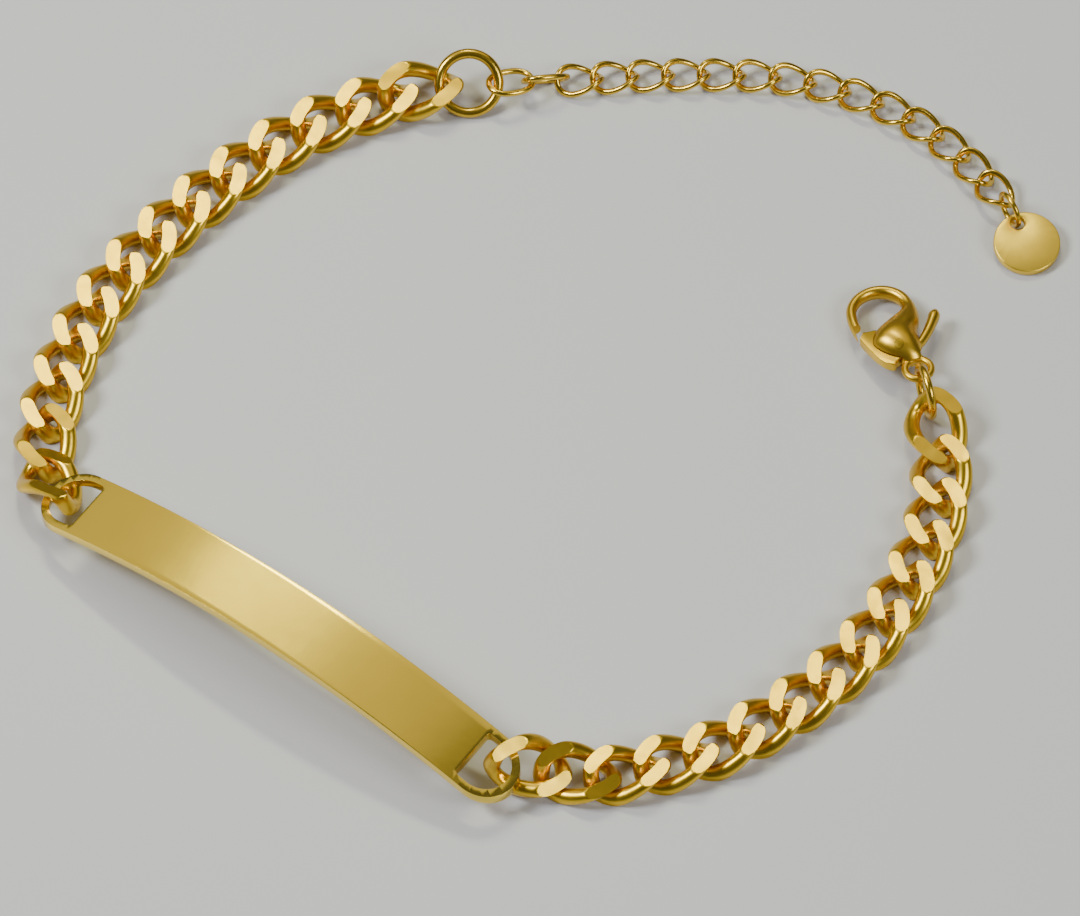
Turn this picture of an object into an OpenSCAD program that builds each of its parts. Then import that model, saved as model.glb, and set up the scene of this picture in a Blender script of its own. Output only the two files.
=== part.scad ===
// Engravable identity bracelet, laid open on a table. Millimetres, Z up.
// X runs to the right and Y away from the viewer. The origin is under the middle of the whole part.
// A name bar sits between two curb chains. One chain ends in a lobster clasp, the other in a ring
// that carries an extension chain with a small disc.

/* [Curb chains] */
// Number of links on each side of the bar
curb_links = 14; // [14:1:14]
// Distance from one link to the next
curb_pitch = 4.05; // [4.04:0.01:4.06]
// Diameter of the link wire
curb_wire = 1.35; // [1.3:0.05:1.35]
// Length of a link over its wire
curb_length = 7.1; // [7.1:0.05:7.15]
// Width of a link over its wire, before it is twisted
curb_width = 5.1; // [5.0:0.05:5.1]
// Angle that each end of a link is twisted through
curb_twist = 54; // [52:1:56]
// Height between the two ground faces
curb_height = 2.1; // [2.0:0.05:2.2]

/* [Name bar] */
// Length along the arched face
bar_length = 47.5; // [47.45:0.05:47.55]
// Width of the bar
bar_width = 5.8; // [5.7:0.05:5.85]
// Thickness of the bar
bar_thickness = 0.9; // [0.85:0.05:0.9]
// Radius of the arched face
bar_radius = 68; // [67:0.5:69]
// Metal left round the cut that takes a link
bar_rim = 0.65; // [0.6:0.05:0.65]
// Length of that cut
bar_cut_length = 3.4; // [3.35:0.05:3.4]

/* [Rings] */
// Outer diameter of the ring that the clasp closes on
ring_d = 5.65; // [5.6:0.05:5.65]
// Wire of that ring
ring_wire = 0.84; // [0.8:0.02:0.84]
// Outer diameter of the ring between the curb chain and the clasp
clasp_ring_d = 4.7; // [4.6:0.05:4.8]
// Wire of that ring
clasp_ring_wire = 0.66; // [0.6:0.03:0.66]

/* [Extension chain] */
// Number of links in the extension chain
ext_links = 16; // [16:1:16]
// Distance from one extension link to the next
ext_pitch = 2.895; // [2.89:0.005:2.9]
// Wire of an extension link
ext_wire = 0.51; // [0.48:0.01:0.51]
// Length of an extension link over its wire
ext_length = 4.12; // [4.1:0.01:4.14]
// Width of an extension link over its wire
ext_width = 3.05; // [3.0:0.05:3.1]

/* [Disc] */
// Diameter of the disc at the end
disc_d = 5.4; // [5.2:0.1:5.4]
// Thickness of the disc
disc_thickness = 0.7; // [0.6:0.05:0.7]
// Diameter of the hole in the disc
disc_hole_d = 1.15; // [1.15:0.05:1.2]
// Outer diameter of the small ring that holds the disc
disc_ring_d = 3.2; // [3.15:0.05:3.2]
// Wire of that ring
disc_ring_wire = 0.45; // [0.4:0.05:0.45]

/* [Clasp] */
// Thickness of the lever inside the body
lever_thickness = 0.9; // [0.8:0.05:0.9]
// Diameter of the lever's pin
pin_d = 0.7; // [0.6:0.05:0.7]
// Wire of the eye that the ring goes through
eye_wire = 0.6; // [0.55:0.05:0.6]

/* [Hidden] */

// Where the middle of the box lies in the frame that the lay is worked out in
lay_origin = [-0.05, 2.08];

// Lay of a stretch of chain on the table: where its first link is, the way to the next, and then
// the turn of each link, as rows of [links, degrees each]
left_start = [-39.08, 4.72];
left_way = 74.6;
left_turns = [[3, -6.9], [4, -4.1], [2, -6.9]];
right_start = [6.86, -30.71];
right_way = 15.6;
right_turns = [[1, 5.6], [1, 11.5], [1, 4.7], [5, 7.1], [1, 10.2]];
ext_start = [3.18, 36.44];
ext_way = 5;
ext_turns = [[4, -1.8], [3, -6], [4, -7.2]];

// Links that are held up at the ends, as rows of [x, y, height, way, dip, lean]
left_raised = [
    [-39.09, -3.64, 1.89, 115.4, 17.9, 14],
    [-39.58, 0.55, 1.29, 90.9, 5.7, 5.6]];
left_last = [-9.67, 34.95, 1.53, 8.5, -2.3, 8];
right_raised = [
    [-0.91, -30.76, 2.24, 1.9, 18.1, 37.3],
    [2.98, -30.99, 1.32, -3.5, 6.6, 15.7]];
right_last = [31.7, 1.56, 1.62, 102.9, -10.4, 3.1];
ext_raised = [
    [-2.38, 35.46, 1.85, 18, 8.1, -9.7],
    [0.45, 36.09, 1.43, 17.9, 17.7, -58.5]];
ext_last = [36.69, 25.24, 1.09, -54.7, -4.7, 0];
ext_flat_z = 0.8;

// Sections along a link and sides of its wire
curb_sections = 14;
ext_sections = 12;
curb_sides = 6;
ext_sides = 5;
// Bow of a link's outline: 1 is an ellipse, less is squarer
curb_bow = 0.68;
ext_bow = 0.85;
ext_twist = 42;

// Angles of a stretch of chain between its links, one for each gap
function spread(turns) = [for (row = turns) for (i = [1:row[0]]) row[1]];
function ways(way, turns, i = 0) =
    i >= len(turns) ? [way] : concat([way], ways(way + turns[i], turns, i + 1));
function walk(at, pitch, steps, i = 0) =
    i >= len(steps) ? [at]
    : concat([at], walk(at + pitch * [cos(steps[i]), sin(steps[i])], pitch, steps, i + 1));
// Each link as [x, y, height, way, dip, lean]; the ways before and after the stretch end it smoothly
function lay(start, pitch, way, turns, z, before, after) =
    let (steps = ways(way, spread(turns)), at = walk(start, pitch, steps),
         all = concat([before], steps, [after]))
    [for (i = [0:len(at) - 1]) [at[i][0], at[i][1], z, (all[i] + all[i + 1]) / 2, 0, 0]];

left_lay = concat(left_raised,
    lay(left_start, curb_pitch, left_way, left_turns, curb_height / 2, 81.5, 18), [left_last]);
right_lay = concat(right_raised,
    lay(right_start, curb_pitch, right_way, right_turns, curb_height / 2, 10, 96),
    [right_last]);
ext_lay = concat(ext_raised,
    lay(ext_start, ext_pitch, ext_way, ext_turns, ext_flat_z, ext_way, -56), [ext_last]);

function two_digits(n) = n < 10 ? str("0", n) : str(n);
left_names = [for (i = [1:curb_links]) str("left_link_", two_digits(i))];
right_names = [for (i = [1:curb_links]) str("right_link_", two_digits(i))];

// Turn of a point about one axis
function about_x(p, a) = [p[0], p[1] * cos(a) - p[2] * sin(a), p[1] * sin(a) + p[2] * cos(a)];
function about_y(p, a) = [p[0] * cos(a) + p[2] * sin(a), p[1], p[2] * cos(a) - p[0] * sin(a)];
function about_z(p, a) = [p[0] * cos(a) - p[1] * sin(a), p[0] * sin(a) + p[1] * cos(a), p[2]];

// Points of a twisted oval link whose wire is ground flat at cut above and below the middle
function bowed(x, bow) = sign(x) * pow(abs(x), bow);
function rim(t, half_l, half_w, bow) =
    [half_l * bowed(cos(t), bow), half_w * bowed(sin(t), bow), 0];
function link_points(length, width, wire, twist, bow, cut, sections, sides) =
    let (half_l = (length - wire) / 2, half_w = (width - wire) / 2)
    [for (s = [0:sections - 1]) let (t = (s + 0.5) * 360 / sections)
        for (k = [0:sides - 1]) let (
            a = (k + 0.5) * 360 / sides,
            along = rim(t + 5, half_l, half_w, bow) - rim(t - 5, half_l, half_w, bow),
            out = [along[1], -along[0], 0] / norm(along),
            p = rim(t, half_l, half_w, bow) + wire / 2 * (cos(a) * out + sin(a) * [0, 0, 1]),
            q = about_x(p, -twist * p[0] / half_l))
        [q[0], q[1], max(-cut, min(cut, q[2]))]];
function link_faces(sections, sides, first = 0) =
    [for (s = [0:sections - 1]) for (k = [0:sides - 1]) let (
        s2 = (s + 1) % sections, k2 = (k + 1) % sides,
        a = first + s * sides + k, b = first + s * sides + k2,
        c = first + s2 * sides + k2, d = first + s2 * sides + k)
        each [[a, b, c], [a, c, d]]];

// One link of the curb chain at a row of its lay
module curb_link(row) {
    color("goldenrod")
        translate([row[0], row[1], row[2]])
            rotate([0, 0, row[3]]) rotate([0, row[4], 0]) rotate([row[5], 0, 0])
                polyhedron(
                    link_points(curb_length, curb_width, curb_wire, curb_twist, curb_bow,
                        curb_height / 2, curb_sections, curb_sides),
                    link_faces(curb_sections, curb_sides));
}

// Name bar: an arched slab with rounded ends, cut through near each end
bar_middle = [-20.65, -18.94];
bar_way = -37.3;
bar_roll = 3;
bar_end_top = 2.65;
bar_half_angle = bar_length / 2 / bar_radius * 180 / PI;
bar_half_chord = bar_radius * sin(bar_half_angle);

module bar_outline() {
    straight = bar_half_chord - bar_width / 2;
    difference() {
        union() {
            square([2 * straight, bar_width], center = true);
            for (side = [-1, 1]) translate([side * straight, 0]) circle(d = bar_width, $fn = 96);
        }
        for (side = [0, 180]) rotate(side) translate([straight, 0]) bar_cut();
    }
}

// D-shaped cut: round like the end of the bar on one side, straight with small corners on the other
module bar_cut() {
    cut_r = bar_width / 2 - bar_rim;
    corner = 0.35;
    back = bar_cut_length - cut_r;
    circle(r = cut_r, $fn = 64);
    translate([-(back - corner) / 2, 0]) square([back - corner, 2 * cut_r], center = true);
    translate([-back / 2, 0]) square([back, 2 * (cut_r - corner)], center = true);
    for (side = [-1, 1])
        translate([corner - back, side * (cut_r - corner)]) circle(r = corner, $fn = 32);
}

module id_bar() {
    drop = bar_radius * cos(bar_half_angle);
    color("goldenrod")
        translate([bar_middle[0], bar_middle[1], bar_end_top])
            rotate([0, 0, bar_way])
                rotate([bar_roll, 0, 0])
                    translate([0, 0, -drop])
                        intersection() {
                            rotate([90, 0, 0])
                                translate([0, 0, -bar_width])
                                    difference() {
                                        cylinder(h = 2 * bar_width, r = bar_radius, $fn = 360);
                                        translate([0, 0, -1])
                                            cylinder(h = 2 * bar_width + 2,
                                                r = bar_radius - bar_thickness, $fn = 360);
                                    }
                            translate([0, 0, drop - 3])
                                linear_extrude(height = 10) bar_outline();
                        }
}

module ring(outer, wire, around = 96, sides = 32) {
    rotate_extrude($fn = around) translate([(outer - wire) / 2, 0]) circle(d = wire, $fn = sides);
}

// Ring on the left chain, leaning up towards the viewer with its near edge on the table
extender_lean = 40;
extender_at = [-5.76, 35.3];
extender_z = (ring_d - ring_wire) / 2 * sin(extender_lean) + ring_wire / 2;

module extender_ring() {
    color("goldenrod")
        translate([extender_at[0], extender_at[1], extender_z])
            rotate([extender_lean, 0, 0]) ring(ring_d, ring_wire);
}

// Extension chain: two plain links off the table, then twisted links that lie on it
function placed(points, row) =
    [for (p = points)
        about_z(about_y(about_x(p, row[5]), row[4]), row[3]) + [row[0], row[1], row[2]]];
function ext_link(i) =
    placed(link_points(ext_length, ext_width, ext_wire, i < len(ext_raised) ? 0 : ext_twist,
            ext_bow, ext_width, ext_sections, ext_sides),
        ext_lay[i]);

module extension_chain() {
    color("gold")
        polyhedron(
            [for (i = [0:ext_links - 1]) each ext_link(i)],
            [for (i = [0:ext_links - 1])
                each link_faces(ext_sections, ext_sides, i * ext_sections * ext_sides)]);
}

// Disc, propped up at its hole by the small ring that passes under it
tag_ring_at = [37.9, 23.08];
tag_ring_way = -60.2;
tag_disc_at = [39.21, 20.38];
tag_disc_way = -66.3;
tag_tilt = 8.8;
disc_hole_out = disc_d / 2 - disc_hole_d / 2 - 0.3;

module tag_ring() {
    color("gold")
        translate([tag_ring_at[0], tag_ring_at[1], disc_ring_d / 2])
            rotate([0, 0, tag_ring_way]) rotate([90, 0, 0]) ring(disc_ring_d, disc_ring_wire);
}

module tag_disc() {
    color("goldenrod")
        translate([tag_disc_at[0], tag_disc_at[1], disc_d / 2 * sin(tag_tilt)])
            rotate([0, 0, tag_disc_way])
                rotate([0, tag_tilt, 0])
                    difference() {
                        cylinder(h = disc_thickness, d = disc_d, $fn = 96);
                        translate([-disc_hole_out, 0, -1])
                            cylinder(h = disc_thickness + 2, d = disc_hole_d, $fn = 48);
                    }
}

// Ring between the right chain and the clasp, standing on its edge
clasp_ring_way = 106;
clasp_ring_at = [30.87, 4.82];

module clasp_ring() {
    color("goldenrod")
        translate([clasp_ring_at[0], clasp_ring_at[1], clasp_ring_d / 2])
            rotate([0, 0, clasp_ring_way]) rotate([90, 0, 0]) ring(clasp_ring_d, clasp_ring_wire);
}

// Clasp in its own frame: eye at the middle, hook along +X, opening on the +Y side
clasp_way = 109;
clasp_dip = 8;
clasp_eye_z = 2.2;
clasp_eye_r = 1.05;
clasp_at = [30.3, 7.1];
pivot = [2.05, 0.85];
hub_r = 0.72;
slot_gap = 0.1;
pin_length = 2.5;
// Rows of [x, y, way, width, height] from the eye up the body and trunk and round the hook
hook_middle = [6.7, 0.85];
hook_r = 2.35;
body_rows = [
    [0.8, 0, 0, 1.3, 0.9], [1.2, 0.1, 0, 2.0, 1.7], [1.9, 0.4, 0, 2.9, 2.6],
    [2.7, 0.65, 0, 3.6, 3.1], [3.5, 0.75, 0, 3.9, 3.2], [4.3, 0.4, -6, 3.6, 2.9],
    [5.0, -0.35, -10, 2.9, 2.4], [5.8, -1.15, -12, 1.75, 1.8]];
hook_rows = [for (a = [-90:30:90])
    [hook_middle[0] + hook_r * cos(a), hook_middle[1] + hook_r * sin(a), a + 90,
     0.95 - 0.12 * sin(a), 1.2 - 0.12 * sin(a)]];
tip_rows = [[5.5, 3.22, 182, 0.82, 1.02], [4.5, 3.1, 186, 0.8, 1], [4.0, 3.04, 186, 0.7, 0.9]];
// Line between the end of the hook and the end of the lever
tip_cut_way = 50;
tip_cut_at = [4.75, 3.15];

module in_clasp() {
    translate([clasp_at[0], clasp_at[1], clasp_eye_z])
        rotate([0, 0, clasp_way]) rotate([0, clasp_dip, 0]) children();
}

// Solid through oval sections, each given as [x, y, way, width, height]
module loft(rows, sides = 12) {
    n = len(rows);
    polyhedron(
        [for (row = rows) for (k = [0:sides - 1]) let (a = (k + 0.5) * 360 / sides)
            [row[0] - row[3] / 2 * cos(a) * sin(row[2]),
             row[1] + row[3] / 2 * cos(a) * cos(row[2]),
             row[4] / 2 * sin(a)]],
        concat(
            [[for (k = [0:sides - 1]) k], [for (k = [sides - 1:-1:0]) (n - 1) * sides + k]],
            [for (s = [0:n - 2]) for (k = [0:sides - 1]) let (
                a = s * sides + k, b = s * sides + (k + 1) % sides)
                each [[a, b + sides, b], [a, a + sides, b + sides]]]));
}

// Half plane on the lever's side of the end of the hook
module past_tip(gap) {
    translate(tip_cut_at) rotate(tip_cut_way) translate([-8 - gap, -4]) square([8, 8]);
}

// Room for the lever between the two cheeks, at rest and open
module lever_room(thickness) {
    linear_extrude(height = thickness, center = true)
        polygon([[0.9, 3.5], [1.0, 1.2], [1.2, 0.7], [1.2, -0.1], [1.0, -0.9], [1.0, -2.5],
                 [2.8, -2.5], [3.25, -0.6], [4.6, -0.2], [5.8, 1.0], [5.8, 3.5]]);
}

module clasp_body() {
    color("goldenrod") in_clasp()
        difference() {
            union() {
                difference() {
                    loft(concat(body_rows, hook_rows, tip_rows));
                    lever_room(lever_thickness + 2 * slot_gap);
                    linear_extrude(height = 4, center = true)
                        intersection() {
                            past_tip(0);
                            translate([0, 2.75]) square([8, 3]);
                        }
                }
                ring(2 * clasp_eye_r + eye_wire, eye_wire, 40, 12);
            }
            translate([pivot[0], pivot[1], -3]) cylinder(h = 6, d = pin_d + 0.04, $fn = 32);
        }
}

module clasp_lever() {
    color("gold") in_clasp()
        difference() {
            union() {
                linear_extrude(height = lever_thickness, center = true) {
                    translate(pivot) circle(r = hub_r, $fn = 40);
                    intersection() {
                        polygon([[1.1, 1.35], [0.85, 1.75], [1.3, 2.3], [2.1, 2.75], [3.2, 3.12],
                                 [4.4, 3.42], [5.4, 3.6], [5.4, 3.1], [5.0, 2.85], [4.9, 2.4],
                                 [4.85, 1.9], [4.3, 1.2], [3.4, 0.6], [2.75, 0], [2.75, -0.6],
                                 [2.3, -1.1], [1.95, -0.5], [1.6, 0.4]]);
                        past_tip(0.06);
                    }
                }
                loft([[2.2, -0.6, -50, 0.55, 0.8], [2.65, -1.2, -46, 0.7, 0.85],
                      [3.45, -2.0, -40, 0.78, 0.95], [4.4, -2.75, -34, 0.88, 1.1],
                      [5.0, -3.15, -30, 0.95, 1.15], [5.35, -3.37, -30, 0.55, 0.7]], 10);
            }
            translate([pivot[0], pivot[1], -3]) cylinder(h = 6, d = pin_d + 0.1, $fn = 32);
        }
}

module clasp_pin() {
    color("gold") in_clasp()
        translate([pivot[0], pivot[1], -pin_length / 2])
            cylinder(h = pin_length, d = pin_d, $fn = 32);
}

// Everything is laid out from lay_origin
module laid() {
    translate([-lay_origin[0], -lay_origin[1], 0]) children();
}

laid() id_bar();
for (i = [0:curb_links - 1]) {
    laid() curb_link(left_lay[i]);
    laid() curb_link(right_lay[i]);
}
laid() extender_ring();
laid() extension_chain();
laid() tag_ring();
laid() tag_disc();
laid() clasp_ring();
laid() clasp_body();
laid() clasp_lever();
laid() clasp_pin();
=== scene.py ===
import math

import bmesh
import bpy
import numpy as np
from mathutils import Matrix, Vector


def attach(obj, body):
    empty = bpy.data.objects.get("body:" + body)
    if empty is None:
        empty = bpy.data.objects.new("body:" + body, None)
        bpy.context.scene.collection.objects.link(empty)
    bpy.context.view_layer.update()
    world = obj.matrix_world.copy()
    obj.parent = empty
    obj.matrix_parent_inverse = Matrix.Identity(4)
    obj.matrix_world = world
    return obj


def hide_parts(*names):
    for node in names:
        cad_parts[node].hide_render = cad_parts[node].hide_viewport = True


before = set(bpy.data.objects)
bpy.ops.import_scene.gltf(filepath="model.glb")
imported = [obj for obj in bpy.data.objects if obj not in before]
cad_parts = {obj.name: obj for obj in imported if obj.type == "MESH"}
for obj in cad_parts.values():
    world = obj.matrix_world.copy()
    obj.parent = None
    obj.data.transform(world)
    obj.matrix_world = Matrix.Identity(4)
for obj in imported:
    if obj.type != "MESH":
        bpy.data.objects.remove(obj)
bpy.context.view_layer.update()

# Sizes and lays are in millimetres and degrees, as in the part's source. MM makes them metres.
MM = 0.001
LAY_ORIGIN = (-0.05, 2.08)

CURB = dict(pitch=4.05, wire=1.35, length=7.1, width=5.1, twist=54, height=2.1, bow=0.68)
EXT = dict(pitch=2.895, wire=0.51, length=4.12, width=3.05, twist=42, height=1.6, bow=0.85)
BAR = dict(length=47.5, width=5.8, thickness=0.9, radius=68, rim=0.65, cut=3.4, corner=0.35,
           at=(-20.65, -18.94), way=-37.3, roll=3, ends_z=2.65, edge=0.14)
RING = dict(outer=5.65, wire=0.84, at=(-5.76, 35.3), lean=40)
TAG_RING = dict(outer=3.2, wire=0.45, at=(37.9, 23.08), way=-60.2)
CLASP_RING = dict(outer=4.7, wire=0.66, at=(30.87, 4.82), way=106)
DISC = dict(d=5.4, thickness=0.7, hole=1.15, out=1.825, at=(39.21, 20.38), way=-66.3, tilt=8.8,
            edge=0.1)

# Raised links as rows of (x, y, height, way, dip, lean)
LEFT_RAISED = [(-39.09, -3.64, 1.89, 115.4, 17.9, 14), (-39.58, 0.55, 1.29, 90.9, 5.7, 5.6)]
LEFT_LAST = (-9.67, 34.95, 1.53, 8.5, -2.3, 8)
RIGHT_RAISED = [(-0.91, -30.76, 2.24, 1.9, 18.1, 37.3), (2.98, -30.99, 1.32, -3.5, 6.6, 15.7)]
RIGHT_LAST = (31.7, 1.56, 1.62, 102.9, -10.4, 3.1)
EXT_RAISED = [(-2.38, 35.46, 1.85, 18, 8.1, -9.7), (0.45, 36.09, 1.43, 17.9, 17.7, -58.5)]
EXT_LAST = (36.69, 25.24, 1.09, -54.7, -4.7, 0)

# Links that lie flat: where the first one is, the way to the next, and the turns after it as rows
# of (links, degrees each). The ways before and after the stretch turn its end links.
LEFT_FLAT = dict(start=(-39.08, 4.72), way=74.6, turns=[(3, -6.9), (4, -4.1), (2, -6.9)],
                 before=81.5, after=18)
RIGHT_FLAT = dict(start=(6.86, -30.71), way=15.6,
                  turns=[(1, 5.6), (1, 11.5), (1, 4.7), (5, 7.1), (1, 10.2)], before=10, after=96)
EXT_FLAT = dict(start=(3.18, 36.44), way=5, turns=[(4, -1.8), (3, -6), (4, -7.2)],
                before=5, after=-56)

# Clasp in its own frame: eye at the middle, hook along X, opening on the +Y side
CLASP = dict(at=(30.3, 7.1), eye_z=2.2, way=109, dip=8, eye_outer=2.7, eye_wire=0.6)
LEVER = dict(thickness=0.9, slot_gap=0.1, hub_r=0.72, hub_step=0.03, edge=0.1, hook_gap=0.06)
PIN = dict(at=(2.05, 0.85), r=0.35, body_hole_r=0.37, lever_hole_r=0.4, half_length=2)

# Sections of the clasp as rows of (x, y, way, width, height)
BODY_ROWS = [(0.8, 0, 0, 1.3, 0.9), (1.2, 0.1, 0, 2.0, 1.7), (1.9, 0.4, 0, 2.9, 2.6),
             (2.7, 0.65, 0, 3.6, 3.1), (3.5, 0.75, 0, 3.9, 3.2), (4.3, 0.4, -6, 3.6, 2.9),
             (5.0, -0.35, -10, 2.9, 2.4), (5.8, -1.15, -12, 1.75, 1.8)]
HOOK = dict(middle=(6.7, 0.85), r=2.35, width=0.95, height=1.2, thinning=0.12)
TIP_ROWS = [(5.5, 3.22, 182, 0.82, 1.02), (4.5, 3.1, 186, 0.8, 1), (4.0, 3.04, 186, 0.7, 0.9)]
TAB_ROWS = [(2.2, -0.6, -50, 0.55, 0.8), (2.65, -1.2, -46, 0.7, 0.85),
            (3.45, -2.0, -40, 0.78, 0.95), (4.4, -2.75, -34, 0.88, 1.1),
            (5.0, -3.15, -30, 0.95, 1.15), (5.35, -3.37, -30, 0.55, 0.7)]
LEVER_OUTLINE = [(1.1, 1.35), (0.85, 1.75), (1.3, 2.3), (2.1, 2.75), (3.2, 3.12), (4.4, 3.42),
                 (5.4, 3.6), (5.4, 3.1), (5.0, 2.85), (4.9, 2.4), (4.85, 1.9), (4.3, 1.2),
                 (3.4, 0.6), (2.75, 0), (2.75, -0.6), (2.3, -1.1), (1.95, -0.5), (1.6, 0.4)]
ROOM_OUTLINE = [(0.9, 3.5), (1.0, 1.2), (1.2, 0.7), (1.2, -0.1), (1.0, -0.9), (1.0, -2.5),
                (2.8, -2.5), (3.25, -0.6), (4.6, -0.2), (5.8, 1.0), (5.8, 3.5)]

# Line between the end of the hook and the lever, and the box in which it cuts the hook
TIP_CUT = dict(at=(4.75, 3.15), way=50, side=8)
TIP_BOX = [(0, 2.75), (8, 2.75), (8, 5.75), (0, 5.75)]

# Half heights of the blocks and drills that cut right through the clasp
HALF_CUT = 2
HALF_DRILL = 3

# Edges sharper than these angles stay sharp in the shading
LINK_EDGE, PLATE_EDGE, CLASP_EDGE = 28, 35, 38


# Lay of the chains

def half_height(spec):
    """Half the height that a link takes up where it lies flat."""
    return spec["height"] / 2


def lay(flat, spec):
    """Rows of a stretch of links that lies flat."""
    steps = [flat["way"]]
    for count, angle in flat["turns"]:
        for _ in range(count):
            steps.append(steps[-1] + angle)
    at = [np.array(flat["start"], float)]
    for step in steps:
        at.append(at[-1] + spec["pitch"] * np.array([math.cos(math.radians(step)),
                                                     math.sin(math.radians(step))]))
    ways = [flat["before"]] + steps + [flat["after"]]
    return [(x, y, half_height(spec), (ways[i] + ways[i + 1]) / 2, 0, 0)
            for i, (x, y) in enumerate(at)]


LEFT_LAY = LEFT_RAISED + lay(LEFT_FLAT, CURB) + [LEFT_LAST]
RIGHT_LAY = RIGHT_RAISED + lay(RIGHT_FLAT, CURB) + [RIGHT_LAST]
EXT_LAY = EXT_RAISED + lay(EXT_FLAT, EXT) + [EXT_LAST]


# Places

def turn(axis, degrees):
    return Matrix.Rotation(math.radians(degrees), 4, axis)


def shift(x, y, z):
    return Matrix.Translation((x, y, z))


def to_part(inner):
    """A place in the lay, in millimetres, as a place in the part's frame, in metres."""
    return Matrix.Scale(MM, 4) @ shift(-LAY_ORIGIN[0], -LAY_ORIGIN[1], 0) @ inner


def link_place(row):
    x, y, height, way, dip, lean = row
    return to_part(shift(x, y, height) @ turn("Z", way) @ turn("Y", dip) @ turn("X", lean))


def standing_ring_place(ring):
    """Place of a ring that stands on its edge."""
    return to_part(shift(ring["at"][0], ring["at"][1], ring["outer"] / 2)
                   @ turn("Z", ring["way"]) @ turn("X", 90))


# Curves and outlines

def between(p0, p1, p2, p3, t):
    """Point between p1 and p2 on the smooth curve through all four."""
    return 0.5 * (2 * p1 + (p2 - p0) * t + (2 * p0 - 5 * p1 + 4 * p2 - p3) * t * t
                  + (3 * p1 - p0 - 3 * p2 + p3) * t ** 3)


def smooth_rows(rows, steps=5):
    """Rows of numbers with smooth steps between them."""
    rows = np.array(rows, float)
    last = len(rows) - 1
    out = [between(rows[max(i - 1, 0)], rows[i], rows[i + 1], rows[min(i + 2, last)], k / steps)
           for i in range(last) for k in range(steps)]
    out.append(rows[last])
    return np.array(out)


def smooth_outline(points, steps=4):
    """Closed outline through the points, with smooth steps between them."""
    pts = [np.array(p, float) for p in points]
    n = len(pts)
    return [between(pts[i - 1], pts[i], pts[(i + 1) % n], pts[(i + 2) % n], k / steps)
            for i in range(n) for k in range(steps)]


def circle(x, y, r, steps=64):
    return [(x + r * math.cos(2 * math.pi * i / steps), y + r * math.sin(2 * math.pi * i / steps))
            for i in range(steps)]


def arc(x, y, r, first, last, steps):
    return [(x + r * math.cos(math.radians(first + (last - first) * i / steps)),
             y + r * math.sin(math.radians(first + (last - first) * i / steps)))
            for i in range(steps + 1)]


# Meshes

def shade(obj, edge_angle=None):
    """Smooth shading, with the edges kept that are sharper than edge_angle."""
    for poly in obj.data.polygons:
        poly.use_smooth = True
    if edge_angle is not None:
        obj.data.set_sharp_from_angle(angle=math.radians(edge_angle))


def face_outwards(obj):
    bm = bmesh.new()
    bm.from_mesh(obj.data)
    bmesh.ops.recalc_face_normals(bm, faces=bm.faces)
    bm.to_mesh(obj.data)
    bm.free()


def link_to_scene(name, data):
    obj = bpy.data.objects.new(name, data)
    bpy.context.scene.collection.objects.link(obj)
    return obj


def add_object(name, verts, faces, place, edge_angle=None):
    mesh = bpy.data.meshes.new(name)
    mesh.from_pydata([place @ Vector(v) for v in verts], [], faces)
    mesh.update()
    obj = link_to_scene(name, mesh)
    shade(obj, edge_angle)
    face_outwards(obj)
    return obj


def closed_grid(sections, sides, first=0):
    """Faces of a tube that closes on itself."""
    faces = []
    for s in range(sections):
        for k in range(sides):
            s2, k2 = (s + 1) % sections, (k + 1) % sides
            faces.append((first + s * sides + k, first + s * sides + k2,
                          first + s2 * sides + k2, first + s2 * sides + k))
    return faces


def open_grid(sections, sides):
    """Faces of a tube with a flat face at each end."""
    faces = [tuple(range(sides)), tuple(range((sections - 1) * sides, sections * sides))]
    for s in range(sections - 1):
        for k in range(sides):
            k2 = (k + 1) % sides
            faces.append((s * sides + k, s * sides + k2,
                          (s + 1) * sides + k2, (s + 1) * sides + k))
    return faces


def torus(outer, wire, around, sides):
    big, small = (outer - wire) / 2, wire / 2
    verts = []
    for i in range(around):
        a = 2 * math.pi * i / around
        for k in range(sides):
            b = 2 * math.pi * k / sides
            reach = big + small * math.cos(b)
            verts.append((reach * math.cos(a), reach * math.sin(a), small * math.sin(b)))
    return verts, closed_grid(around, sides)


def loft(name, rows, sides, place):
    """Closed solid through oval sections, each (x, y, way, width, height)."""
    verts = []
    for x, y, way, width, height in rows:
        w = math.radians(way)
        for k in range(sides):
            a = 2 * math.pi * (k + 0.5) / sides
            side = width / 2 * math.cos(a)
            verts.append((x - side * math.sin(w), y + side * math.cos(w),
                          height / 2 * math.sin(a)))
    return add_object(name, verts, open_grid(len(rows), sides), place)


def prism(name, outline, half, place):
    """Straight plate of the outline, from -half to half."""
    verts = [(x, y, z) for z in (-half, half) for x, y in outline]
    return add_object(name, verts, open_grid(2, len(outline)), place)


def rounded_prism(name, outline, half, edge, place, steps=4):
    """Plate of the outline, from -half to half, with its long edges rounded by edge."""
    pts = np.array(outline)
    ahead = np.roll(pts, -1, axis=0)
    if np.sum(pts[:, 0] * ahead[:, 1] - ahead[:, 0] * pts[:, 1]) < 0:
        pts = pts[::-1]
    along = np.roll(pts, -1, axis=0) - np.roll(pts, 1, axis=0)
    out = np.c_[along[:, 1], -along[:, 0]] / np.linalg.norm(along, axis=1)[:, None]
    bends = np.linspace(0, math.pi / 2, steps + 1)
    rings = [(edge * (1 - math.sin(a)), edge * (1 - math.cos(a)) - half) for a in bends]
    rings += [(inset, -z) for inset, z in reversed(rings)]
    verts = [(x, y, z) for inset, z in rings for x, y in pts - out * inset]
    return add_object(name, verts, open_grid(len(rings), len(pts)), place)


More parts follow.
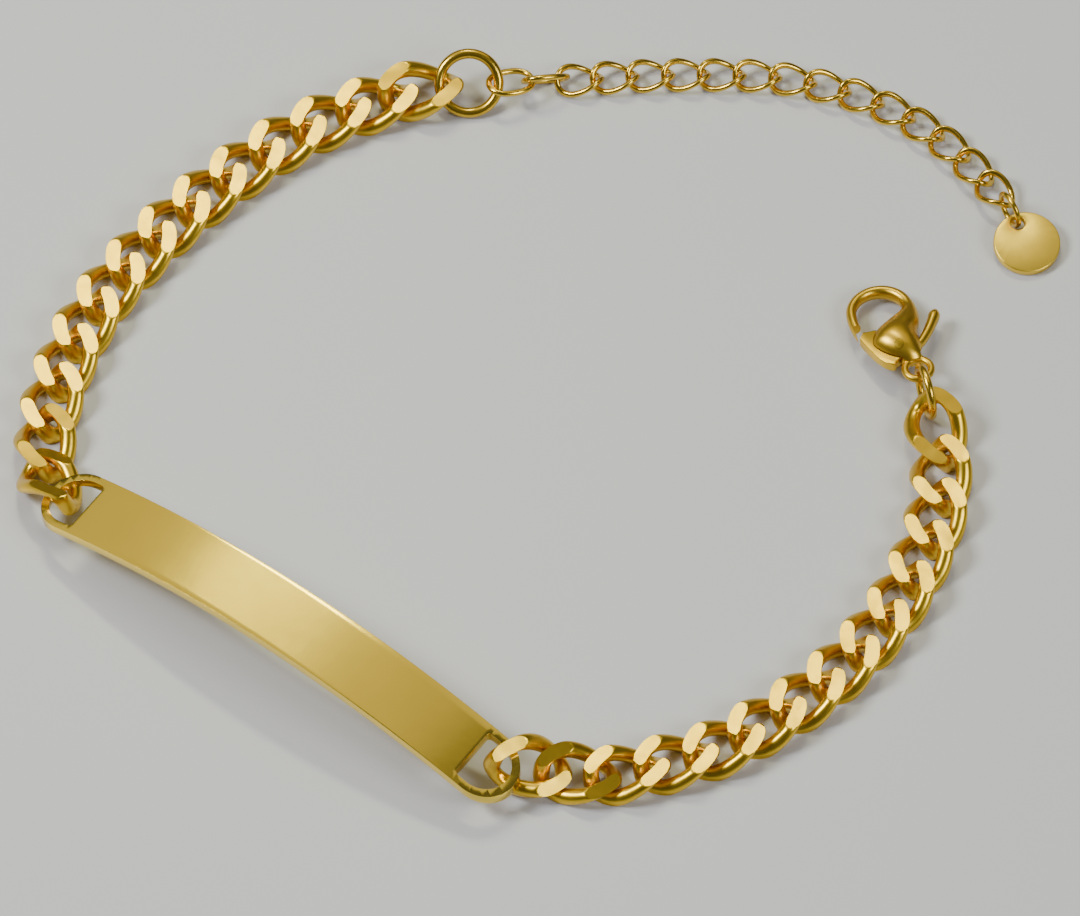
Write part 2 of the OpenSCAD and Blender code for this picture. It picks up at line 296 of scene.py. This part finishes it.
def apply_modifiers(obj):
    graph = bpy.context.evaluated_depsgraph_get()
    mesh = bpy.data.meshes.new_from_object(obj.evaluated_get(graph))
    obj.modifiers.clear()
    obj.data = mesh


def boolean(obj, other, kind):
    """Joins or cuts obj with other, which is used up."""
    modifier = obj.modifiers.new(kind.lower(), "BOOLEAN")
    modifier.operation = kind
    modifier.solver = "EXACT"
    modifier.object = other
    apply_modifiers(obj)
    bpy.data.objects.remove(other)


def bevel(obj, width_mm, segments=3, edge_angle=50):
    modifier = obj.modifiers.new("bevel", "BEVEL")
    modifier.width = width_mm * MM
    modifier.segments = segments
    modifier.limit_method = "ANGLE"
    modifier.angle_limit = math.radians(edge_angle)
    modifier.use_clamp_overlap = True
    apply_modifiers(obj)


def plate(name, outer, holes, cuts, top_z, low_z, place, edge_mm):
    """Plate with holes between two height functions of x, its edges rounded by edge_mm.

    It is cut across at each x in cuts, so that it can bend there.
    """
    bm = bmesh.new()
    for outline in [outer] + holes:
        ring = [bm.verts.new((x, y, 0)) for x, y in outline]
        for i in range(len(ring)):
            bm.edges.new((ring[i], ring[(i + 1) % len(ring)]))
    bmesh.ops.triangle_fill(bm, use_beauty=True, use_dissolve=False, edges=bm.edges)
    for x in cuts:
        bmesh.ops.bisect_plane(bm, geom=bm.verts[:] + bm.edges[:] + bm.faces[:],
                               plane_co=(x, 0, 0), plane_no=(1, 0, 0))
    bmesh.ops.recalc_face_normals(bm, faces=bm.faces)
    if bm.faces[0].normal.z < 0:
        bmesh.ops.reverse_faces(bm, faces=bm.faces)
    top = bm.verts[:]
    made = bmesh.ops.extrude_face_region(bm, geom=bm.faces[:])
    low = [v for v in made["geom"] if isinstance(v, bmesh.types.BMVert)]
    for verts, surface in ((low, low_z), (top, top_z)):
        for v in verts:
            v.co.z = surface(v.co.x)
    mesh = bpy.data.meshes.new(name)
    bm.to_mesh(mesh)
    bm.free()
    mesh.transform(place)
    obj = link_to_scene(name, mesh)
    face_outwards(obj)
    bevel(obj, edge_mm)
    shade(obj, PLATE_EDGE)
    return obj


def stand_for(obj, body, material, node):
    """Lets obj stand for a node of the part and ride on its body."""
    obj.data.materials.clear()
    obj.data.materials.append(material)
    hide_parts(node)
    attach(obj, body)


# Link of twisted wire

# The wire's section is searched in steps of so many degrees, at most so many of them each way, for
# the points where a ground face cuts it
SEARCH_STEP = 2
SEARCH_LIMIT = 80
# Narrowest half angle in radians that a ground face takes up, where it fades out along the link
NARROWEST = 0.22
# Half angle in radians between the two points that make the edge of a ground face
CHAMFER = 0.09
# Half step in degrees along the rim for the wire's direction, and points for the rim's length
RIM_STEP = 2.5
RIM_POINTS = 1441


def bowed(x, bow):
    return np.sign(x) * np.abs(x) ** bow


def link_tube(spec, twist, cut, sections, flat_sides, round_sides):
    """Points of a twisted oval link, ground flat at cut above and below its middle.

    Each section has its points gathered at the edges of its two ground faces, so that the edges
    run cleanly along the link.
    """
    half_l = (spec["length"] - spec["wire"]) / 2
    half_w = (spec["width"] - spec["wire"]) / 2
    r = spec["wire"] / 2

    def rim(t):
        return np.array([half_l * bowed(math.cos(t), spec["bow"]),
                         half_w * bowed(math.sin(t), spec["bow"]), 0.0])

    def wire_points(t, angles):
        step = math.radians(RIM_STEP)
        along = rim(t + step) - rim(t - step)
        out = np.array([along[1], -along[0], 0.0]) / np.linalg.norm(along)
        p = rim(t) + r * (np.outer(np.cos(angles), out) + np.outer(np.sin(angles), [0, 0, 1]))
        a = -np.radians(twist) * p[:, 0] / half_l
        return np.c_[p[:, 0], p[:, 1] * np.cos(a) - p[:, 2] * np.sin(a),
                     p[:, 1] * np.sin(a) + p[:, 2] * np.cos(a)]

    def ground_face(z, sign):
        """Middle and half angle of the stretch of the section that lies past the cut."""
        middle = int(np.argmax(sign * z))
        over = sign * z > cut
        left = right = 0
        while over[(middle + left) % len(around)] and left < SEARCH_LIMIT:
            left += 1
        while over[(middle - right) % len(around)] and right < SEARCH_LIMIT:
            right += 1
        half = max(math.radians(SEARCH_STEP / 2 * (left + right)), NARROWEST)
        return around[middle] + math.radians(SEARCH_STEP / 2 * (left - right)), half

    around = np.radians(np.arange(0, 360, float(SEARCH_STEP)))
    fine = np.linspace(0, 2 * math.pi, RIM_POINTS)
    path = np.array([rim(t) for t in fine])
    travelled = np.r_[0, np.cumsum(np.linalg.norm(np.diff(path, axis=0), axis=1))]
    verts = []
    for t in np.interp((np.arange(sections) + 0.5) / sections * travelled[-1], travelled, fine):
        z = wire_points(t, around)[:, 2]
        top, top_half = ground_face(z, 1)
        low, low_half = ground_face(z, -1)
        low = top + (low - top) % (2 * math.pi)
        flats = []
        for centre, half in ((top, top_half), (low, low_half)):
            inner = np.linspace(centre - half + CHAMFER, centre + half - CHAMFER, flat_sides - 2)
            flats.append(np.r_[centre - half - CHAMFER, inner, centre + half + CHAMFER])
        rounds = [np.linspace(first, last, round_sides + 2)[1:-1]
                  for first, last in ((flats[0][-1], flats[1][0]),
                                      (flats[1][-1], flats[0][0] + 2 * math.pi))]
        p = wire_points(t, np.r_[flats[0], rounds[0], flats[1], rounds[1]])
        p[:, 2] = np.clip(p[:, 2], -cut, cut)
        verts.extend(p.tolist())
    return verts, 2 * (flat_sides + round_sides)


# Materials

WAVE_SCALE = 420


def add_noise(nodes, scale, detail):
    noise = nodes.new("ShaderNodeTexNoise")
    noise.inputs["Scale"].default_value = scale
    noise.inputs["Detail"].default_value = detail
    return noise


def add_bump(nodes, strength, height_mm):
    bump = nodes.new("ShaderNodeBump")
    bump.inputs["Strength"].default_value = strength
    bump.inputs["Distance"].default_value = height_mm * MM
    return bump


def gold(name, color, roughness, cloud_scale, grain_scale, grain_mm, dark=0.72, wave_mm=0.02):
    """Plated gold: tone clouds from dark to full, fine grain in roughness and bump, soft waves."""
    material = bpy.data.materials.new(name)
    material.use_nodes = True
    nodes, links = material.node_tree.nodes, material.node_tree.links
    shader = nodes["Principled BSDF"]
    shader.inputs["Metallic"].default_value = 1.0
    place = nodes.new("ShaderNodeTexCoord")

    clouds = add_noise(nodes, cloud_scale, 4)
    tone = nodes.new("ShaderNodeValToRGB")
    tone.color_ramp.elements[0].position = 0.3
    tone.color_ramp.elements[0].color = tuple(c * dark for c in color) + (1,)
    tone.color_ramp.elements[1].position = 0.7
    tone.color_ramp.elements[1].color = tuple(color) + (1,)
    links.new(place.outputs["Object"], clouds.inputs["Vector"])
    links.new(clouds.outputs["Fac"], tone.inputs["Fac"])
    links.new(tone.outputs["Color"], shader.inputs["Base Color"])

    spread = nodes.new("ShaderNodeMapping")
    spread.inputs["Scale"].default_value = (grain_scale,) * 3
    grain = add_noise(nodes, 1.0, 6)
    grain.inputs["Roughness"].default_value = 0.65
    rough = nodes.new("ShaderNodeMapRange")
    rough.inputs["To Min"].default_value, rough.inputs["To Max"].default_value = roughness
    links.new(place.outputs["Object"], spread.inputs["Vector"])
    links.new(spread.outputs["Vector"], grain.inputs["Vector"])
    links.new(grain.outputs["Fac"], rough.inputs["Value"])
    links.new(rough.outputs["Result"], shader.inputs["Roughness"])

    swell = add_noise(nodes, WAVE_SCALE, 1)
    wave = add_bump(nodes, 1.0, wave_mm)
    bump = add_bump(nodes, 0.6, grain_mm)
    links.new(place.outputs["Object"], swell.inputs["Vector"])
    links.new(swell.outputs["Fac"], wave.inputs["Height"])
    links.new(grain.outputs["Fac"], bump.inputs["Height"])
    links.new(wave.outputs["Normal"], bump.inputs["Normal"])
    links.new(bump.outputs["Normal"], shader.inputs["Normal"])
    return material


curb_gold = gold("curb_gold", (0.92, 0.59, 0.045), (0.25, 0.35), cloud_scale=500,
                 grain_scale=3000, grain_mm=0.004, dark=0.86, wave_mm=0.07)
ring_gold = gold("ring_gold", (0.92, 0.59, 0.06), (0.2, 0.3), cloud_scale=600,
                 grain_scale=2500, grain_mm=0.004)
chain_gold = gold("chain_gold", (0.92, 0.6, 0.07), (0.16, 0.26), cloud_scale=700,
                  grain_scale=2500, grain_mm=0.004, dark=0.8, wave_mm=0.008)
bar_gold = gold("bar_gold", (0.98, 0.7, 0.09), (0.15, 0.21), cloud_scale=90,
                grain_scale=400, grain_mm=0.006, dark=0.92, wave_mm=0.004)
disc_gold = gold("disc_gold", (0.97, 0.67, 0.08), (0.3, 0.4), cloud_scale=300,
                 grain_scale=2200, grain_mm=0.006, dark=0.9)
clasp_gold = gold("clasp_gold", (0.88, 0.55, 0.05), (0.28, 0.38), cloud_scale=260,
                  grain_scale=1600, grain_mm=0.006)
lever_gold = gold("lever_gold", (0.88, 0.56, 0.05), (0.26, 0.36), cloud_scale=300,
                  grain_scale=1800, grain_mm=0.006)


# Pieces

def curb_chains():
    """Links of ground and twisted wire, each a piece of its own."""
    sections = 112
    verts, sides = link_tube(CURB, CURB["twist"], half_height(CURB), sections, flat_sides=7,
                             round_sides=8)
    faces = closed_grid(sections, sides)
    for side, rows in (("left", LEFT_LAY), ("right", RIGHT_LAY)):
        for number, row in enumerate(rows, 1):
            node = "%s_link_%02d" % (side, number)
            link = add_object("gold_" + node, verts, faces, link_place(row), LINK_EDGE)
            stand_for(link, "bracelet", curb_gold, node)


def extension_chain():
    """Links of round wire, so their cut lies outside them. The raised ones aren't twisted."""
    sections = 56
    verts, faces = [], []
    for number, row in enumerate(EXT_LAY):
        twist = 0 if number < len(EXT_RAISED) else EXT["twist"]
        link_verts, sides = link_tube(EXT, twist, EXT["width"], sections, flat_sides=5,
                                      round_sides=4)
        faces += closed_grid(sections, sides, len(verts))
        place = link_place(row)
        verts += [place @ Vector(v) for v in link_verts]
    chain = add_object("gold_extension_chain", verts, faces, Matrix.Identity(4))
    stand_for(chain, "bracelet", chain_gold, "extension_chain")


def ring_piece(node, ring, place):
    verts, faces = torus(ring["outer"], ring["wire"], around=128, sides=28)
    piece = add_object("gold_" + node, verts, faces, place)
    stand_for(piece, "bracelet", ring_gold, node)


def rings():
    """The extender ring leans on the table. The other two stand on their edges."""
    middle_r = (RING["outer"] - RING["wire"]) / 2
    height = middle_r * math.sin(math.radians(RING["lean"])) + RING["wire"] / 2
    ring_piece("extender_ring", RING, to_part(shift(RING["at"][0], RING["at"][1], height)
                                              @ turn("X", RING["lean"])))
    ring_piece("tag_ring", TAG_RING, standing_ring_place(TAG_RING))
    ring_piece("clasp_ring", CLASP_RING, standing_ring_place(CLASP_RING))


def name_bar():
    """Arched bar with round ends and a D-shaped cut near each, flat side inwards."""
    radius, half_width = BAR["radius"], BAR["width"] / 2
    half_angle = BAR["length"] / 2 / radius
    straight = radius * math.sin(half_angle) - half_width
    outer = (arc(straight, 0, half_width, -90, 90, 40)
             + arc(-straight, 0, half_width, 90, 270, 40))
    cut_r, corner = half_width - BAR["rim"], BAR["corner"]
    back = BAR["cut"] - cut_r
    cut = (arc(0, 0, cut_r, -90, 90, 28)
           + arc(corner - back, cut_r - corner, corner, 90, 180, 6)
           + arc(corner - back, corner - cut_r, corner, 180, 270, 6))
    holes = [[(x + straight, y) for x, y in cut], [(-x - straight, -y) for x, y in cut]]
    bend_step = 0.5
    reach = math.floor(radius * math.sin(half_angle))
    place = to_part(shift(BAR["at"][0], BAR["at"][1], BAR["ends_z"]) @ turn("Z", BAR["way"])
                    @ turn("X", BAR["roll"]) @ shift(0, 0, -radius * math.cos(half_angle)))
    bar = plate("gold_id_bar", outer, holes, np.arange(-reach, reach + bend_step, bend_step),
                lambda x: math.sqrt(radius ** 2 - x * x),
                lambda x: math.sqrt((radius - BAR["thickness"]) ** 2 - x * x),
                place, BAR["edge"])
    stand_for(bar, "bracelet", bar_gold, "id_bar")


def tag_disc():
    """Disc that lies tilted, with its low edge on the table."""
    r, tilt = DISC["d"] / 2, DISC["tilt"]
    place = to_part(shift(DISC["at"][0], DISC["at"][1], r * math.sin(math.radians(tilt)))
                    @ turn("Z", DISC["way"]) @ turn("Y", tilt))
    disc = plate("gold_tag_disc", circle(0, 0, r, 96),
                 [circle(-DISC["out"], 0, DISC["hole"] / 2, 40)], [],
                 lambda x: DISC["thickness"], lambda x: 0, place, DISC["edge"])
    stand_for(disc, "bracelet", disc_gold, "tag_disc")


# Clasp

clasp_place = to_part(shift(CLASP["at"][0], CLASP["at"][1], CLASP["eye_z"])
                      @ turn("Z", CLASP["way"]) @ turn("Y", CLASP["dip"]))


def hook_row(degrees):
    a = math.radians(degrees)
    return (HOOK["middle"][0] + HOOK["r"] * math.cos(a), HOOK["middle"][1] + HOOK["r"] * math.sin(a),
            degrees + 90, HOOK["width"] - HOOK["thinning"] * math.sin(a),
            HOOK["height"] - HOOK["thinning"] * math.sin(a))


HOOK_ROWS = [hook_row(degrees) for degrees in range(-90, 91, 30)]


def solid_body(name):
    """Body, trunk and hook of the clasp before anything is cut."""
    return loft(name, smooth_rows(BODY_ROWS + HOOK_ROWS + TIP_ROWS), 36, clasp_place)


def past_tip(name, gap):
    """Block on the lever's side of the end of the hook, gap away from the line of its cut."""
    way, side = math.radians(TIP_CUT["way"]), TIP_CUT["side"]
    corners = [(-side - gap, -side / 2), (-gap, -side / 2), (-gap, side / 2),
               (-side - gap, side / 2)]
    outline = [(TIP_CUT["at"][0] + x * math.cos(way) - y * math.sin(way),
                TIP_CUT["at"][1] + x * math.sin(way) + y * math.cos(way)) for x, y in corners]
    return prism(name, outline, HALF_CUT, clasp_place)


def round_block(name, r, half):
    """Cylinder on the axis of the lever."""
    return prism(name, circle(PIN["at"][0], PIN["at"][1], r), half, clasp_place)


def clasp_body():
    """Hook, cheeks and eye as one casting, with room for the lever and a hole for the pin."""
    body = solid_body("gold_clasp_body")
    half_room = LEVER["thickness"] / 2 + LEVER["slot_gap"]
    boolean(body, prism("room", ROOM_OUTLINE, half_room, clasp_place), "DIFFERENCE")
    tip_side = past_tip("tip_side", 0)
    boolean(tip_side, prism("tip_box", TIP_BOX, HALF_CUT, clasp_place), "INTERSECT")
    boolean(body, tip_side, "DIFFERENCE")
    eye_verts, eye_faces = torus(CLASP["eye_outer"], CLASP["eye_wire"], around=96, sides=24)
    boolean(body, add_object("eye", eye_verts, eye_faces, clasp_place), "UNION")
    boolean(body, round_block("pin_hole", PIN["body_hole_r"], HALF_DRILL), "DIFFERENCE")
    shade(body, CLASP_EDGE)
    stand_for(body, "bracelet", clasp_gold, "clasp_body")


def clasp_lever():
    """Rounded plate that ends short of the hook, with a hub, a thumb tab and a hole."""
    half = LEVER["thickness"] / 2
    lever = rounded_prism("gold_clasp_lever", smooth_outline(LEVER_OUTLINE), half,
                          LEVER["edge"], clasp_place)
    boolean(lever, past_tip("lever_side", LEVER["hook_gap"]), "INTERSECT")
    boolean(lever, round_block("hub", LEVER["hub_r"], half - LEVER["hub_step"]), "UNION")
    boolean(lever, loft("tab", smooth_rows(TAB_ROWS), 28, clasp_place), "UNION")
    boolean(lever, round_block("lever_hole", PIN["lever_hole_r"], HALF_DRILL), "DIFFERENCE")
    shade(lever, CLASP_EDGE)
    stand_for(lever, "lever", lever_gold, "clasp_lever")


def clasp_pin():
    """Pin with its ends flush with the cheeks."""
    pin = round_block("gold_clasp_pin", PIN["r"], PIN["half_length"])
    boolean(pin, solid_body("pin_ends"), "INTERSECT")
    shade(pin, PLATE_EDGE)
    stand_for(pin, "bracelet", lever_gold, "clasp_pin")


# Floor, lights and camera

FLOOR_SIZE = 3.0
FLOOR_COLOR = (0.62, 0.62, 0.63, 1)
FLOOR_ROUGHNESS = 0.35

# Lights that face the origin, in metres and watts
LIGHTS = [
    dict(name="panel", at=(-0.02, 0.4, 0.6), size=(1.1, 0.7), power=1.45, color=(1, 0.92, 0.7)),
    dict(name="glow", at=(-0.02, 0.345, 0.5), size=(0.26, 0.22), power=0.05,
         color=(0.98, 0.96, 0.56)),
    dict(name="strip", at=(-0.035, 0.325, 0.48), size=(0.2, 0.045), power=0.62,
         color=(0.97, 0.98, 0.64), roll=-42),
    dict(name="key", at=(-0.42, -0.02, 0.48), size=(0.2, 0.2), power=3.4, color=(0.93, 0.96, 1)),
    dict(name="fill", at=(0.4, -0.3, 0.42), size=(0.25, 0.25), power=1.7, color=(0.93, 0.96, 1)),
]
SKY_COLOR = (0.9, 0.93, 1.0, 1)
SKY_STRENGTH = 0.09

# The photograph's view: the camera's angle above the floor, the frame's width in millimetres, and
# the camera's distance in metres
ELEVATION = 56
VIEW_WIDTH = 86.4
VIEW_DISTANCE = 1.44
SENSOR_WIDTH = 36


def pale_floor():
    """Plain floor under the part, which isn't part of it."""
    bpy.ops.mesh.primitive_plane_add(size=FLOOR_SIZE, location=(0, 0, 0))
    floor = bpy.context.object
    floor.name = "floor"
    material = bpy.data.materials.new("pale_floor")
    material.use_nodes = True
    shader = material.node_tree.nodes["Principled BSDF"]
    shader.inputs["Base Color"].default_value = FLOOR_COLOR
    shader.inputs["Roughness"].default_value = FLOOR_ROUGHNESS
    floor.data.materials.append(material)


def area_light(name, at, size, power, color, roll=0):
    """Soft light that faces the origin, turned by roll about its own axis."""
    data = bpy.data.lights.new(name, "AREA")
    data.shape = "RECTANGLE"
    data.size, data.size_y = size
    data.energy = power
    data.color = color
    obj = link_to_scene(name, data)
    obj.location = at
    facing = (-Vector(at)).to_track_quat("-Z", "Y")
    obj.rotation_euler = (facing.to_matrix().to_4x4() @ turn("Z", roll)).to_euler()


def studio_light():
    for light in LIGHTS:
        area_light(**light)
    world = bpy.data.worlds.new("studio")
    bpy.context.scene.world = world
    world.use_nodes = True
    sky = world.node_tree.nodes["Background"]
    sky.inputs["Color"].default_value = SKY_COLOR
    sky.inputs["Strength"].default_value = SKY_STRENGTH


def photo_camera():
    """Camera that looks at the middle of the lay from the photograph's angle."""
    data = bpy.data.cameras.new("camera")
    data.sensor_width = SENSOR_WIDTH
    data.lens = VIEW_DISTANCE * SENSOR_WIDTH / (VIEW_WIDTH * MM)
    data.clip_start, data.clip_end = 0.1, 10
    camera = link_to_scene("camera", data)
    rise = math.radians(ELEVATION)
    aim = Vector((-LAY_ORIGIN[0] * MM, -LAY_ORIGIN[1] * MM, 0))
    camera.location = aim + VIEW_DISTANCE * Vector((0, -math.cos(rise), math.sin(rise)))
    camera.rotation_euler = (aim - camera.location).to_track_quat("-Z", "Y").to_euler()
    bpy.context.scene.camera = camera


curb_chains()
extension_chain()
rings()
name_bar()
tag_disc()
clasp_body()
clasp_lever()
clasp_pin()
pale_floor()
studio_light()
photo_camera()
